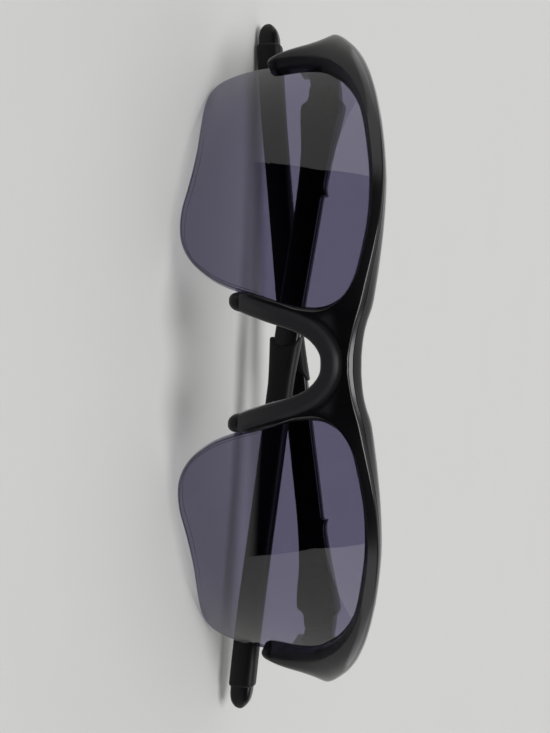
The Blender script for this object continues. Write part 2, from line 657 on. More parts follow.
def front_place(p, q, radius):
    """Puts (p, q, radius) in place; near the middle plane it turns to face straight ahead."""
    def ahead(reach):
        return np.sqrt(np.maximum(reach ** 2 - p * p - q * q, 0))

    face = on_ball(p, q, FACE_R)
    x = face[..., 0]
    turn = smooth_step(*TURN_ASIDE, x)
    aim = np.stack([-turn * math.sin(WRAP), 1 - turn * (1 - math.cos(WRAP)), 0 * turn], -1)
    bow = BRIDGE_Y + FACE_R - np.sqrt(np.maximum(FACE_R ** 2 - x ** 2, 0))
    behind = face[..., 1] - bow
    lead = (behind + np.sqrt(behind ** 2 + LEAD_BLEND ** 2)) / 2 * smooth_step(*LEAD_ASIDE, x)
    face[..., 1] -= lead
    return face + aim * (ahead(FACE_R) - ahead(radius))[..., None]


def build_front(steps):
    """The whole front, joined on its middle plane, and how satin each point is."""
    points, satin = front_half(steps)
    rows, columns = points.shape[:2]
    parts = []
    for side in (1, -1):
        half = points * (side, 1, 1)
        flat = half.reshape(-1, 3)
        faces = [face for face in ring_faces(rows, columns)
                 if max(abs(flat[k][0]) for k in face) > 1e-4]
        faces += fan((rows - 1) * columns, columns, len(flat))
        parts.append((list(flat) + [half[-1].mean(0)], [face[::side] for face in faces]))
    return joined(parts), (list(satin.ravel()) + [0.0]) * 2


# ---- hinge ears
EAR_TOP = 4.58        # top of the upper ear above the hinge line
EAR_ROOM = 3.08       # half of the gap between the ears
HEAD_RECESS = 0.7     # how deep the screw's head is sunk
HEAD_HOLE, SCREW_HOLE, INSERT_HOLE = 1.43, 0.79, 1.35    # radii of the ears' holes
PAST = 2              # how far the cutting shapes stand out of the block
BEVEL_FROM = math.radians(35)     # edges sharper than this are softened
CUT_SOFTEN = 1 / 3    # how soft the cuts' edges are against the block's own
# Plans in millimetres from the hinge: the outer wall, the rounded back and the room inside.
EAR_WALL = [(-1.0, -5.6), (0.3, -7.9), (1.5, -8.9), (2.4, -8.0), (3.1, -5.2), (3.4, -1.5),
            (3.4, 0.5), (3.27, 1.05), (2.95, 1.5), (2.45, 1.98)]
EAR_BACK = ((2.95, range(55, 96, 10)), (1.9, range(125, 196, 10)))
ROOM_PLAN = [(-9, -3), (2.7, -3), (2.7, 14), (-9, 14)]


def circle(radius, count=48):
    turns = [math.tau * k / count for k in range(count)]
    return [(radius * math.cos(t), radius * math.sin(t)) for t in turns]


def hinge_prism(name, outline, low, high):
    """An object: an upright prism on a plan round the left hinge."""
    n = len(outline)
    points = [(HINGE_X + x, HINGE_BACK + y, z) for z in (low, high) for x, y in outline]
    faces = [tuple(range(n))[::-1], tuple(range(n, 2 * n))]
    faces += [(i, (i + 1) % n, n + (i + 1) % n, n + i) for i in range(n)]
    mesh = new_mesh(name, points, faces)
    faces_outward(mesh)
    return link_object(name, mesh)


def add_bevel(piece, width):
    edge = piece.modifiers.new("edge", "BEVEL")
    edge.width, edge.segments, edge.limit_method = width, 2, "ANGLE"
    edge.angle_limit = BEVEL_FROM
    edge.use_clamp_overlap = True


def hinge_ears(soften):
    """The block behind the left corner that carries a hinge: two ears and an outer wall."""
    plan = EAR_WALL + [(radius * math.cos(math.radians(a)), radius * math.sin(math.radians(a)))
                       for radius, angles in EAR_BACK for a in angles]
    block = hinge_prism("ear_block", plan, -EAR_TOP, EAR_TOP)
    add_bevel(block, soften)
    cutters = []
    for outline, low, high in (
            (ROOM_PLAN, -EAR_ROOM, EAR_ROOM),
            (circle(HEAD_HOLE), EAR_TOP - HEAD_RECESS, EAR_TOP + PAST),
            (circle(SCREW_HOLE), -EAR_TOP - PAST, EAR_TOP + PAST),
            (circle(INSERT_HOLE), -EAR_TOP - PAST, -EAR_ROOM + 0.01)):
        cutter = hinge_prism("ear_cut", outline, low, high)
        cut = block.modifiers.new("cut", "BOOLEAN")
        cut.operation, cut.solver, cut.object = "DIFFERENCE", "EXACT", cutter
        cutters.append(cutter)
    add_bevel(block, soften * CUT_SOFTEN)
    mesh = evaluated_mesh(block)
    points = [tuple(v.co) for v in mesh.vertices]
    faces = [tuple(f.vertices) for f in mesh.polygons]
    for holder in [block] + cutters:
        bpy.data.objects.remove(holder)
    bpy.data.meshes.remove(mesh)
    return points, faces


# ---- lenses
LENS_MIDDLE = np.array([2.0, -6.0])   # where the rings of a lens's faces close
RING_CROWDING = 1.25  # how much closer together the rings are near the rim
RIM_RINGS = (0.5, 0.28)           # millimetres from the rim to the last rings
IN_GROOVE = 1.3       # how far the rim stands in the frame's groove
# The lens's outline in its own axis: temple edge, free lower edge, nose edge; the last
# number is how much of the point sits in the frame's groove.
LENS_RIM = (
    (28.9, -14.0, 0), (29.0, -17.0, 0), (28.7, -20.0, 0), (27.9, -22.6, 0), (26.2, -24.05, 0),
    (23.6, -24.5, 0), (20.0, -24.35, 0), (15.0, -23.75, 0), (9.5, -23.3, 0), (4.5, -23.45, 0),
    (0.5, -23.95, 0), (-3.2, -24.65, 0), (-6.5, -24.75, 0), (-9.3, -24.3, 0), (-11.9, -23.15, 0),
    (-14.2, -21.4, 0), (-16.3, -18.9, 0), (-17.9, -16.5, 0), (-19.3, -13.6, 0), (-20.4, -10.6, 0),
    (-21.4, -7.5, 0), (-22.4, -4.6, 0.6), (-23.2, -2.0, 1), (-23.7, 0.6, 1), (-23.8, 3.4, 1),
    (-23.2, 5.8, 1), (-21.8, 7.8, 1), (-19.4, 9.5, 1), (-16.4, 10.6, 1), (-12.4, 11.5, 1),
    (-8.0, 12.0, 1), (-3.6, 12.05, 1), (1.0, 11.75, 1), (5.4, 11.05, 1), (9.8, 10.15, 1),
    (13.6, 9.15, 1), (17.2, 7.95, 1), (20.8, 6.15, 1), (23.6, 3.95, 1), (25.4, 1.95, 1),
    (26.8, -0.5, 1), (27.4, -3.5, 0.9), (27.8, -6.5, 0.7), (28.2, -9.0, 0.4), (28.6, -11.5, 0.1),
)


def lens_rim(steps):
    keys = np.array(LENS_RIM, float)
    count = len(keys)
    wrapped = np.concatenate([keys[-2:], keys, keys[:3]])
    rows = spline(wrapped, steps)[2 * steps:(2 + count) * steps]
    edge = rows[:, :2]
    run = np.roll(edge, -1, 0) - np.roll(edge, 1, 0)
    side = np.stack([run[:, 1], -run[:, 0]], 1)
    side /= np.linalg.norm(side, axis=1)[:, None]
    if np.sum(side * edge) < 0:
        side = -side
    return edge + side * (IN_GROOVE * np.clip(rows[:, 2:3], 0, 1))


def build_lens(steps, rings, chamfer):
    """A closed lens: both faces are exact spheres, with a small chamfer at the rim.

    Also says which material each face has: 0 the clear one, 1 the ground edge."""
    edge = lens_rim(steps)
    count = len(edge)
    shares = list(1 - (1 - np.linspace(0, 1, rings)[1:-1]) ** RING_CROWDING)
    width = np.linalg.norm(edge - LENS_MIDDLE, axis=1)[:, None]
    flat_rings = [LENS_MIDDLE + (edge - LENS_MIDDLE) * s for s in shares]
    flat_rings += [edge - (edge - LENS_MIDDLE) / width * inset for inset in (*RIM_RINGS, chamfer)]
    front = [on_ball(r[:, 0], r[:, 1], LENS_R) for r in flat_rings]
    back = [on_ball(r[:, 0], r[:, 1], LENS_R - LENS_T) for r in flat_rings]
    outer = [on_ball(edge[:, 0], edge[:, 1], LENS_R - depth)
             for depth in (chamfer, LENS_T / 2, LENS_T - chamfer)]
    stack = front + outer + back[::-1]
    points = [p for ring in stack for p in ring]
    faces = ring_faces(len(stack), count)
    for ring, radius in ((0, LENS_R), (len(stack) - 1, LENS_R - LENS_T)):
        faces += fan(ring * count, count, len(points))
        points.append(on_ball(*LENS_MIDDLE, radius))
    kinds = np.zeros(len(faces), int)
    kinds[(len(front) - 1) * count:len(front) * count] = 1
    return points, faces, list(kinds)


# ---- stems
# A stem's own measures run along it from its hinge, sideways away from the head, and up.
STEM_LEN = 133.0      # from the hinge to the tip
STEM_SET = 2.2        # how far outside its hinge the stem runs
TIP_CURVE = 2.0       # how far its end curves in toward the head
TIP_DROP = 15.0       # how far its end falls
SLEEVE_AT = 58.0      # where the sleeve starts
SLEEVE_STOP = STEM_LEN - 5.0      # where it ends
TIP_START = SLEEVE_AT - 6         # where the end starts to curve in
DROP_AT = (0, 0.15, 0.44, 0.86, 1)            # shares of the length, and of the fall there
DROP_SHARE = (0, 0.13, 0.51, 0.91, 1)
DROP_SOFT = 6         # over how long the fall's corners are rounded
FOLD = {"right": math.radians(-3.2), "left": math.radians(4.2)}   # off square to the front
CORE_T = 2.3          # thickness inside the sleeve, before it swells toward the tip
SWELL = 1.3
SWELL_FROM, SWELL_TO = 0.45, 0.85           # shares of the sleeve's length for that
CORE_HALF = 2.2       # half-height inside the sleeve
# Along a stem, from its hinge: distance, height above and below its middle, thickness.
STEM_SHAPE = (
    (3.3, 2.95, 2.95, 4.4), (3.5, 3.0, 3.0, 4.6), (4.4, 3.05, 3.0, 4.6), (5.4, 3.35, 3.0, 4.6),
    (6.4, 4.05, 3.3, 4.6), (7.0, 4.4, 4.15, 4.6), (7.6, 4.5, 4.35, 4.6), (9.0, 4.4, 4.3, 4.6),
    (12.0, 4.0, 3.95, 4.3), (16.0, 3.5, 3.4, 3.85), (20.0, 3.2, 3.15, 3.4), (23.0, 3.0, 3.05, 3.1),
    (24.6, 3.1, 3.0, 2.95), (25.6, 3.45, 3.0, 2.9), (26.0, 3.62, 2.98, 2.85),
    (26.12, 3.0, 2.96, 2.8), (26.6, 2.75, 2.95, 2.8), (30.0, 2.75, 2.9, 2.8),
    (40.0, 2.7, 2.8, 2.8), (50.0, 2.65, 2.7, 2.8), (57.0, 2.65, 2.65, 2.8),
)
# The tip's half-height at each distance past the sleeve.
TIP_SHAPE = ((-1.5, 2.2), (0.5, 2.24), (1.6, 2.2), (2.6, 2.06), (3.4, 1.82), (4.05, 1.42),
             (4.55, 0.96), (4.85, 0.5), (4.97, 0.18))
# Where the stem meets its hinge: the knuckle's radius and height, and the neck's distance
# along the stem, inner and outer side, and half-height.
KNUCKLE_SHAPE = ((2.2, -3.0), (2.35, -2.95), (2.4, -2.8), (2.4, 2.8), (2.35, 2.95), (2.2, 3.0))
NECK_SHAPE = ((-0.4, -1.6, 2.2, 2.9), (1.2, -1.6, 2.38, 2.98), (2.6, -1.2, 2.5, 2.98),
              (3.4, -0.1, 3.6, 2.98), (4.4, -0.1, 4.4, 2.98), (6.4, 0.0, 4.4, 2.98),
              (7.2, 0.2, 4.3, 2.9))


def drop(s):
    return -TIP_DROP * np.interp(np.asarray(s, float) / STEM_LEN, DROP_AT, DROP_SHARE)


def soft_drop(s):
    """The same fall with the corners of its straight runs rounded."""
    s = np.asarray(s, float)
    reach = np.clip(np.minimum(s, SLEEVE_STOP - s) / DROP_SOFT, 0, 1)
    return sum(drop(s + share * DROP_SOFT * reach) for share in (-1, -0.5, 0, 0.5, 1)) / 5


def outward(s):
    share = np.clip((np.asarray(s, float) - TIP_START) / (STEM_LEN - TIP_START), 0, 1)
    return STEM_SET - TIP_CURVE * share ** 2


def swell(s):
    share = (np.asarray(s, float) - SLEEVE_AT) / (SLEEVE_STOP - SLEEVE_AT)
    return SWELL * smooth_step(SWELL_FROM, SWELL_TO, share)


def rounded_loop(half_t, up, down, radius, count=7):
    """A section across a stem: sideways and height, with rounded corners."""
    radius = min(radius, half_t * 0.98, up * 0.98, down * 0.98)
    loop = []
    right, left, top, bottom = half_t - radius, radius - half_t, up - radius, radius - down
    for cx, cz, start in ((right, top, 0), (left, top, 90), (left, bottom, 180),
                          (right, bottom, 270)):
        for k in range(count):
            a = math.radians(start + 90 * k / (count - 1))
            loop.append((cx + radius * math.cos(a), cz + radius * math.sin(a)))
    return np.array(loop)


def stem_ring(s, half_t, up, down, radius, lateral=None, height=None):
    loop = rounded_loop(half_t, up, down, radius)
    side = outward(s) if lateral is None else lateral
    middle = soft_drop(s) if height is None else height
    return np.column_stack([np.full(len(loop), s), side + loop[:, 0], middle + loop[:, 1]])


def build_stem():
    """A bare stem: its shaft, core and tip in one loft, with a knuckle and a neck."""
    rings = [stem_ring(3.25, 1.7, 2.4, 2.4, 0.5, lateral=2.2, height=0)]
    for s, up, down, thick in spline(STEM_SHAPE, 4):
        height = float(soft_drop(s) if s > 12 else drop(s))
        rings.append(stem_ring(s, thick / 2, up, down, 0.75, height=height))
    for s in np.linspace(SLEEVE_AT + 0.6, SLEEVE_STOP - 1.8, 40):
        half_t = (CORE_T + float(swell(s))) / 2
        rings.append(stem_ring(s, half_t, CORE_HALF, CORE_HALF, 0.9))
    for past, half in TIP_SHAPE:
        half_t = (CORE_T + SWELL) / 2 * min(1, half / CORE_HALF)
        rings.append(stem_ring(SLEEVE_STOP + past, half_t, half, half, 1.05 * half / CORE_HALF))
    turns = np.linspace(0, math.tau, 49)[:-1]
    knuckle = [np.array([(r * math.cos(t), r * math.sin(t), z) for t in turns])
               for r, z in KNUCKLE_SHAPE]
    neck = [stem_ring(s, (high - low) / 2, half, half, 0.5, lateral=(low + high) / 2, height=0)
            for s, low, high, half in NECK_SHAPE]
    return joined([capped_loft(rings), capped_loft(knuckle), capped_loft(neck)])


def place_stem(points, side):
    """Turns a stem's own points (along, sideways, up) to where it lies folded."""
    along, aside, up = np.asarray(points, float).T
    turn = FOLD[side]
    x = along * math.cos(turn) - aside * math.sin(turn) - HINGE_X
    y = along * math.sin(turn) + aside * math.cos(turn) + HINGE_BACK
    return np.column_stack([x * -SIDES[side], y, up])


# ---- sleeves
SLEEVE_SIZES = {
    "Half Height": 2.7 * MM, "Thickness": 3.5 * MM, "Rear Thickness": 4.8 * MM,
    "Flare": 0.75 * MM, "Horn": 2.3 * MM, "Flare Share": 0.11, "Squareness": 0.62,
    "Flare Curve": 1.3, "Flare Aside": 0.25, "Horn Curve": 3.0,
}
SLEEVE_AROUND = 40    # points round the sleeve
WELD = 2e-6


def sleeve_tree(material):
    """Geometry Nodes: a flattened tube along a path, flared at its mouth and thicker behind.

    The path's close value says how far the tube is open at each point."""
    tree = bpy.data.node_groups.new("rubber_sleeve", "GeometryNodeTree")
    face = tree.interface
    face.new_socket(name="Path", in_out="INPUT", socket_type="NodeSocketGeometry")
    for name, value in SLEEVE_SIZES.items():
        socket = face.new_socket(name=name, in_out="INPUT", socket_type="NodeSocketFloat")
        socket.default_value = value
    socket = face.new_socket(name="Around", in_out="INPUT", socket_type="NodeSocketInt")
    socket.default_value = SLEEVE_AROUND
    face.new_socket(name="Sleeve", in_out="OUTPUT", socket_type="NodeSocketGeometry")
    add_nodes(
        tree,
        ("given", "NodeGroupInput"),
        ("path", "GeometryNodeMeshToCurve", {"Mesh": "given.Path"}),
        ("Middle", "GeometryNodeInputPosition"),
        ("Share", "GeometryNodeSplineParameter"),
        ("Close", "GeometryNodeInputNamedAttribute", {"Name": "close"}, {"data_type": "FLOAT"}))
    # What the path says at each point is kept, because the tube's own points lie beside it.
    kept = add_node(tree, "kept", "GeometryNodeCaptureAttribute", {"Geometry": "path.Curve"})
    for name, kind, socket in (("Middle", "VECTOR", "Position"), ("Share", "FLOAT", "Factor"),
                               ("Close", "FLOAT", "Attribute")):
        kept.capture_items.new(kind, name)
        tree.links.new(tree.nodes[name].outputs[socket], kept.inputs[name])
    add_nodes(
        tree,
        ("ring", "GeometryNodeCurvePrimitiveCircle",
         {"Radius": 1 * MM, "Resolution": "given.Around"}, {"mode": "RADIUS"}),
        ("tube", "GeometryNodeCurveToMesh",
         {"Fill Caps": False, "Curve": "kept.Geometry", "Profile Curve": "ring.Curve"}),
        ("here", "GeometryNodeInputPosition"),
        ("offset", "VectorMath", {0: "here.Position", 1: "kept.Middle"}, {"operation": "SUBTRACT"}),
        ("on", "SeparateXYZ", {"Vector": "offset.Vector"}),
        ("rear", "MapRange",
         {"Value": "kept.Share", "From Min": SWELL_FROM, "From Max": SWELL_TO,
          "To Min": "given.Thickness", "To Max": "given.Rear Thickness"}, SMOOTH),
        ("open", "MapRange",
         {"Value": "kept.Share", "From Max": "given.Flare Share", "To Min": 1.0, "To Max": 0.0}))
    # Each sum: its name, its operation, and the sockets or numbers that go in.
    sums = []
    for axis in "YZ":
        # A superellipse: the part of the circle on one axis, drawn out toward its corners.
        sums += [(axis + " part", "DIVIDE", "on." + axis, 1 * MM),
                 (axis + " size", "ABSOLUTE", axis + " part.Value"),
                 (axis + " grown", "POWER", axis + " size.Value", "given.Squareness"),
                 (axis + " sign", "SIGN", axis + " part.Value"),
                 (axis, "MULTIPLY", axis + " grown.Value", axis + " sign.Value")]
    sums += [
        ("mouth", "POWER", "open.Result", "given.Flare Curve"),
        ("flare", "MULTIPLY", "mouth.Value", "given.Flare"),
        ("open height", "ADD", "given.Half Height", "flare.Value"),
        ("height", "MULTIPLY", "open height.Value", "kept.Close"),
        ("half rear", "MULTIPLY", "rear.Result", 0.5),
        ("flare aside", "MULTIPLY", "flare.Value", "given.Flare Aside"),
        ("open half", "ADD", "half rear.Value", "flare aside.Value"),
        ("half", "MULTIPLY", "open half.Value", "kept.Close"),
        ("far up", "ABSOLUTE", "Z.Value"),
        ("peak", "POWER", "far up.Value", "given.Horn Curve"),
        ("tongue", "MULTIPLY", "peak.Value", "mouth.Value"),
        ("forward", "MULTIPLY", "given.Horn", -1.0),
        ("along", "MULTIPLY", "tongue.Value", "forward.Value"),
        ("across", "MULTIPLY", "Y.Value", "half.Value"),
        ("upward", "MULTIPLY", "Z.Value", "height.Value"),
    ]
    for name, operation, *terms in sums:
        add_node(tree, name, "Math", dict(enumerate(terms)), {"operation": operation})
    add_nodes(
        tree,
        ("moved", "CombineXYZ", {"X": "along.Value", "Y": "across.Value", "Z": "upward.Value"}),
        ("goal", "VectorMath", {0: "kept.Middle", 1: "moved.Vector"}, {"operation": "ADD"}),
        ("shaped", "GeometryNodeSetPosition", {"Geometry": "tube.Mesh", "Position": "goal.Vector"}),
        ("welded", "GeometryNodeMergeByDistance",
         {"Distance": WELD, "Geometry": "shaped.Geometry"}),
        ("real", "GeometryNodeRealizeInstances", {"Geometry": "welded.Geometry"}),
        ("coated", "GeometryNodeSetMaterial", {"Material": material, "Geometry": "real.Geometry"}),
        ("out", "NodeGroupOutput", {"Sleeve": "coated.Geometry"}))
    return tree


# Beside each end of the sleeve: distances past it, and how far the section is open there.
SLEEVE_FRONT = [(-0.30, 0.80), (-0.28, 0.9), (-0.2, 0.97), (0.0, 1.0)]
SLEEVE_REAR = [(-0.3, 1.0), (-0.1, 0.985), (0.1, 0.95), (0.22, 0.88), (0.26, 0.78)]


def sleeve_path():
    """Distances along the stem and how far the section is open there: it closes at both ends."""
    body = np.linspace(SLEEVE_AT + 0.5, SLEEVE_STOP - 0.6, 72)
    return ([(SLEEVE_AT + d, share) for d, share in SLEEVE_FRONT] + [(s, 1.0) for s in body]
            + [(SLEEVE_STOP + d, share) for d, share in SLEEVE_REAR])


def build_sleeve(name, side, tree, sizes):
    stations = sleeve_path()
    points = [(s * MM, float(outward(s)) * MM, float(soft_drop(s)) * MM) for s, _ in stations]
    path = new_mesh(name + "_path", points, [], [(i, i + 1) for i in range(len(points) - 1)])
    path.attributes.new("close", "FLOAT", "POINT").data.foreach_set(
        "value", [share for _, share in stations])
    holder = link_object(name + "_path", path)
    nodes = holder.modifiers.new("sleeve", "NODES")
    nodes.node_group = tree
    for item in tree.interface.items_tree:
        if item.item_type == "SOCKET" and item.in_out == "INPUT" and item.name in sizes:
            nodes[item.identifier] = sizes[item.name]
    mesh = evaluated_mesh(holder)
    bpy.data.objects.remove(holder)
    shell = bmesh.new()
    shell.from_mesh(mesh)
    bmesh.ops.holes_fill(shell, edges=[e for e in shell.edges if e.is_boundary])
    shell.to_mesh(mesh)
    shell.free()
    faces = [tuple(f.vertices) for f in mesh.polygons]
    spots = np.array([v.co for v in mesh.vertices]) / MM
    bpy.data.meshes.remove(mesh)
    return add_piece(name, place_stem(spots, side), faces, [MATERIALS["rubber"]], 45)


# ---- nose pads
PAD_SPLAY = 0.05      # how far a pad leans outward for each millimetre back
PAD_FRONT = 1.4       # where its lean starts
PAD_SQUARE = 0.75     # how square its section is: 1 is an ellipse
PAD_SLIM = 0.9        # its half-width against the shape's
PAD_AROUND = 40       # points round it
# From a pad's lowest point up: height, middle, half-width, front, back.
PAD_SHAPE = (
    (-9.2, 11.25, 0.05, 2.6, 3.2), (-9.16, 11.25, 0.6, 1.6, 4.6), (-9.0, 11.22, 1.15, 0.8, 5.8),
    (-8.6, 11.15, 1.6, 0.1, 6.6), (-8.0, 11.05, 1.9, -0.4, 7.2), (-7.3, 10.95, 2.0, -0.62, 7.6),
    (-6.75, 10.85, 2.0, -0.66, 7.75), (-6.62, 10.82, 1.7, -0.4, 7.8), (-6.5, 10.8, 1.5, 0.6, 7.8),
    (-6.2, 10.7, 1.5, 1.4, 7.85), (-4.0, 9.95, 1.65, 1.4, 7.85), (-2.0, 9.25, 1.7, 1.4, 7.7),
    (0.0, 8.6, 1.7, 1.4, 7.3), (2.0, 7.9, 1.6, 1.4, 6.6), (3.4, 7.45, 1.35, 1.5, 5.7),
    (4.1, 7.2, 1.0, 1.7, 4.9), (4.4, 7.1, 0.5, 2.2, 4.2), (4.45, 7.1, 0.1, 2.8, 3.4),
)


def build_pad():
    rings = []
    for z, x, half, front, back in spline(PAD_SHAPE, 3):
        middle, deep = (front + back) / 2, max((back - front) / 2, 0.02)
        ring = []
        for k in range(PAD_AROUND):
            t = math.tau * k / PAD_AROUND
            c, s = (math.copysign(abs(v) ** PAD_SQUARE, v) for v in (math.cos(t), math.sin(t)))
            y = middle + deep * s
            ring.append((x + max(half * PAD_SLIM, 0.02) * c + PAD_SPLAY * (y - PAD_FRONT), y, z))
        rings.append(ring)
    return capped_loft(rings)


# ---- sizes and colours to change
class SunglassesFinish(bpy.types.PropertyGroup):
    front_colour: StringProperty(
        name="Front", description="Colour of the front's nylon", default="#0B0B0D")
    arm_colour: StringProperty(
        name="Nose arms", description="Colour of the satin skin round the nose arch",
        default="#202023")
    stem_colour: StringProperty(
        name="Stems", description="Colour of the stems' nylon", default="#09090A")
    rubber_colour: StringProperty(
        name="Rubber", description="Colour of pads and sleeves", default="#09090B")
    lens_colour: StringProperty(
        name="Lenses", description="Tint of one pass through a lens", default="#706B87")
    edge_colour: StringProperty(
        name="Lens edge", description="Colour of the lenses' ground edge", default="#26242E")
    table_colour: StringProperty(
        name="Table", description="Colour of the table", default="#CACAC8")


class SunglassesDetail(bpy.types.PropertyGroup):
    front_steps: IntProperty(
        name="Front steps", description="Stations between two key stations of the front",
        default=7, min=2, max=12)
    lens_steps: IntProperty(
        name="Lens steps", description="Points between two key points of a lens's rim",
        default=6, min=2, max=12)
    lens_rings: IntProperty(
        name="Lens rings", description="Rings between a lens's middle and rim",
        default=26, min=6, max=60)
    lens_chamfer: FloatProperty(
        name="Lens chamfer", description="Chamfer at a lens's rim, in millimetres",
        default=0.14, min=0.02, max=0.4)
    ear_soften: FloatProperty(
        name="Ear edges", description="Radius of the hinge ears' edges, in millimetres",
        default=0.38, min=0.05, max=0.5)
    sleeve_flare: FloatProperty(
        name="Sleeve flare", description="How far a sleeve's mouth stands out",
        default=SLEEVE_SIZES["Flare"], min=0.0, max=2 * MM, unit="LENGTH")
    sleeve_height: FloatProperty(
        name="Sleeve half-height", description="Half of a sleeve's height",
        default=SLEEVE_SIZES["Half Height"], min=2 * MM, max=3.4 * MM, unit="LENGTH")


class SunglassesLight(bpy.types.PropertyGroup):
    sky: FloatProperty(
        name="Room", description="Brightness of the room all round",
        default=0.14, min=0.0, max=2.0)
    sides: FloatProperty(
        name="Sides", description="Extra brightness at both sides",
        default=1.05, min=0.0, max=3.0)
    behind: FloatProperty(
        name="Behind", description="Extra brightness above and behind",
        default=0.5, min=0.0, max=3.0)
    key: FloatProperty(
        name="Key", description="Strength of the broad lamp overhead",
        default=1.95, min=0.0, max=10.0)
    key_width: FloatProperty(
        name="Key width", description="How broad the lamp looks from the table",
        default=math.radians(33), min=0.0, max=math.radians(90), unit="ROTATION")


# ---- operators
class SUNGLASSES_OT_materials(bpy.types.Operator):
    """Make every material of the sunglasses and the table"""
    bl_idname = "sunglasses.materials"
    bl_label = "Materials"

    def execute(self, context):
        make_materials(context.scene.sunglasses_finish)
        for side in SIDES:
            for part in ("screw", "insert"):
                node = frame["nodes"][f"hinge_{part}_{side}"]
                node.data.materials.clear()
                node.data.materials.append(MATERIALS[part])
        return {"FINISHED"}


class SUNGLASSES_OT_front(bpy.types.Operator):
    """Make the front: brow, end hooks, bridge, nose arms and hinge ears"""
    bl_idname = "sunglasses.front"
    bl_label = "Front"

    def execute(self, context):
        detail = context.scene.sunglasses_detail
        ears, ear_faces = hinge_ears(detail.ear_soften)
        other = [(-x, y, z) for x, y, z in ears]
        shell, satin = build_front(detail.front_steps)
        points, faces = joined([shell, (ears, ear_faces), (other, ear_faces)])
        satin += [0.0] * (len(points) - len(satin))
        piece = add_piece("front", points, faces, [MATERIALS["front"]], 38, satin=satin)
        settle(piece, "front", ["front_frame"])
        return {"FINISHED"}


class SUNGLASSES_OT_lenses(bpy.types.Operator):
    """Make both lenses"""
    bl_idname = "sunglasses.lenses"
    bl_label = "Lenses"

    def execute(self, context):
        detail = context.scene.sunglasses_detail
        points, faces, kinds = build_lens(detail.lens_steps, detail.lens_rings,
                                          detail.lens_chamfer)
        for side, mirror in SIDES.items():
            piece = add_piece(f"lens_{side}_clear", np.array(points) * (mirror, 1, 1), faces,
                              [MATERIALS["lens"], MATERIALS["lens_edge"]], 50, kinds)
            settle(piece, "front", [f"lens_{side}"])
        return {"FINISHED"}


class SUNGLASSES_OT_pads(bpy.types.Operator):
    """Make both nose pads"""
    bl_idname = "sunglasses.pads"
    bl_label = "Nose pads"

    def execute(self, context):
        points, faces = build_pad()
        for side, mirror in SIDES.items():
            piece = add_piece(f"pad_{side}", np.array(points) * (mirror, 1, 1), faces,
                              [MATERIALS["rubber"]], 40)
            settle(piece, "front", [f"nose_pad_{side}"])
        return {"FINISHED"}


class SUNGLASSES_OT_stems(bpy.types.Operator):
    """Make both stems with their knuckles and tips"""
    bl_idname = "sunglasses.stems"
    bl_label = "Stems"

    def execute(self, context):
        points, faces = build_stem()
        for side in SIDES:
            piece = add_piece(f"stem_{side}_bare", place_stem(points, side), faces,
                              [MATERIALS["stem"]], 38)
            settle(piece, f"stem_{side}", [f"temple_{side}"])
        return {"FINISHED"}


class SUNGLASSES_OT_sleeves(bpy.types.Operator):
    """Make both rubber sleeves"""
    bl_idname = "sunglasses.sleeves"
    bl_label = "Rubber sleeves"

    def execute(self, context):
        detail = context.scene.sunglasses_detail
        tree = sleeve_tree(MATERIALS["rubber"])
        sizes = {"Flare": detail.sleeve_flare, "Half Height": detail.sleeve_height}
        for side in SIDES:
            piece = build_sleeve(f"sleeve_{side}", side, tree, sizes)
            settle(piece, f"stem_{side}", [f"temple_sleeve_{side}"])
        return {"FINISHED"}


# ---- table, lights and camera
# From here on sizes are metres on the table, apart from the camera's.
TABLE_HALF = 3.0
SCREEN_MIDDLE = Vector((0.0, -0.005, 0.0))
SCREEN_NEAR, SCREEN_FULL = 0.064, 0.077       # distances over which its near edge fades in
SCREEN_TURN = math.radians(67)    # half of the screen's angle at its near edge
SCREEN_SPREAD = math.radians(50)  # half of the angle over which its sides spread
SCREEN_REACH, SCREEN_HEIGHT = 0.36, 0.17
SCREEN_LIFT = 0.0006              # above the table
SCREEN_STEPS = 48


def toward(azimuth, elevation):
    """A direction; azimuth 0 looks to the back and elevation is up."""
    return Vector((math.sin(azimuth) * math.cos(elevation),
                   math.cos(azimuth) * math.cos(elevation), math.sin(elevation)))


def stage_piece(name, points, faces, material):
    mesh = new_mesh(name, points, faces)
    mesh.materials.append(material)
    piece = link_object(name, mesh)
    return piece


def dark_cloth():
    """Woven wool, dyed black: deep and dull, with no sheen, and it fades out near the glasses."""
    return node_material(
        "cloth_black_wool",
        ("flat", "VectorMath", {0: "place.Object", 1: (1, 1, 0), 2: -SCREEN_MIDDLE},
         {"operation": "MULTIPLY_ADD"}),
        ("far", "VectorMath", {0: "flat.Vector"}, {"operation": "LENGTH"}),
        ("share", "MapRange",
         {"Value": "far.Value", "From Min": SCREEN_NEAR, "From Max": SCREEN_FULL}, SMOOTH),
        ("clear", "BsdfTransparent"),
        ("cloth", "BsdfDiffuse", {"Color": linear("#050506")}),
        ("mix", "MixShader", {"Fac": "share.Result", 1: "clear.BSDF", 2: "cloth.BSDF"}),
        ("out", "OutputMaterial", {"Surface": "mix.Shader"}))


